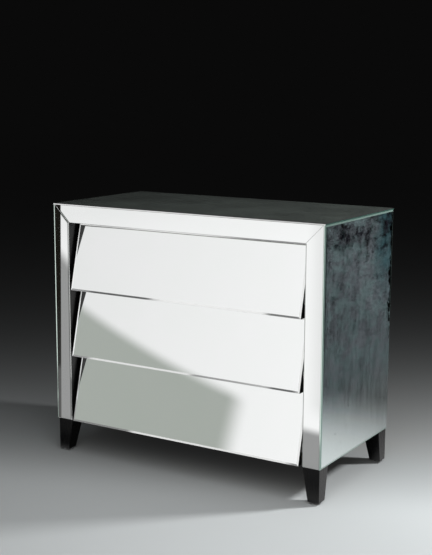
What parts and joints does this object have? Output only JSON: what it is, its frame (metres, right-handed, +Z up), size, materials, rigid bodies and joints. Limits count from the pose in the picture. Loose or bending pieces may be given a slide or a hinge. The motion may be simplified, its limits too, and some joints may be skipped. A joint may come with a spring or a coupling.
{
  "type": "mirrored chest of drawers",
  "caption": "Straight-sided chest clad in mirror glass, with drawers whose leaning fronts overlap like shingles, a mitred mirror frame and short tapered black feet.",
  "frame": {"origin": "floor level, under the middle of the overall box", "axes": "+X to the right seen from the front, +Y to the back, so the drawers open towards -Y, +Z up"},
  "size_m": [1, 0.4986, 0.85],
  "materials": {
    "mirror": "silvered float glass",
    "antique_mirror": "foxed silvered glass",
    "ebonised_wood": "ebonised, satin",
    "carcass_wood": "planed, bare",
    "runner_wood": "planed and waxed beech",
    "drawer_wood": "planed, clear sealed",
    "plywood": "sanded birch plywood",
    "steel": "zinc plated",
    "glide_plastic": "moulded"
  },
  "bodies": {
    "carcass": {"back_foot_left": "ebonised_wood", "back_foot_right": "ebonised_wood", "back_glide_left": "glide_plastic", "back_glide_right": "glide_plastic", "back_panel": "plywood", "back_panel_screws": "steel", "back_post_left": "carcass_wood", "back_post_right": "carcass_wood", "bottom_runner_left": "runner_wood", "bottom_runner_right": "runner_wood", "carcass_bottom": "carcass_wood", "carcass_side_left": "carcass_wood", "carcass_side_right": "carcass_wood", "carcass_top": "carcass_wood", "divider_rail_lower": "ebonised_wood", "divider_rail_upper": "ebonised_wood", "foot_bolts": "steel", "frame_mirror_left": "mirror", "frame_mirror_right": "mirror", "frame_mirror_top": "mirror", "front_foot_left": "ebonised_wood", "front_foot_right": "ebonised_wood", "front_glide_left": "glide_plastic", "front_glide_right": "glide_plastic", "front_post_left": "ebonised_wood", "front_post_right": "ebonised_wood", "middle_runner_left": "runner_wood", "middle_runner_right": "runner_wood", "runner_screws": "steel", "side_mirror_left": "antique_mirror", "side_mirror_right": "antique_mirror", "top_mirror": "mirror", "top_rail": "ebonised_wood", "top_runner_left": "runner_wood", "top_runner_right": "runner_wood"},
    "bottom_drawer": {"bottom_drawer_back": "drawer_wood", "bottom_drawer_bottom": "plywood", "bottom_drawer_front": "ebonised_wood", "bottom_drawer_mirror": "mirror", "bottom_drawer_screws": "steel", "bottom_drawer_side_left": "drawer_wood", "bottom_drawer_side_right": "drawer_wood"},
    "middle_drawer": {"middle_drawer_back": "drawer_wood", "middle_drawer_bottom": "plywood", "middle_drawer_front": "ebonised_wood", "middle_drawer_mirror": "mirror", "middle_drawer_screws": "steel", "middle_drawer_side_left": "drawer_wood", "middle_drawer_side_right": "drawer_wood"},
    "top_drawer": {"top_drawer_back": "drawer_wood", "top_drawer_bottom": "plywood", "top_drawer_front": "ebonised_wood", "top_drawer_mirror": "mirror", "top_drawer_screws": "steel", "top_drawer_side_left": "drawer_wood", "top_drawer_side_right": "drawer_wood"}
  },
  "joints": [
    {"name": "bottom_drawer_slide", "type": "slide", "parent": "carcass", "child": "bottom_drawer", "axis": [0, -1, 0], "range_m": [0, 0.3]},
    {"name": "middle_drawer_slide", "type": "slide", "parent": "carcass", "child": "middle_drawer", "axis": [0, -1, 0], "range_m": [0, 0.3]},
    {"name": "top_drawer_slide", "type": "slide", "parent": "carcass", "child": "top_drawer", "axis": [0, -1, 0], "range_m": [0, 0.3]}
  ]
}
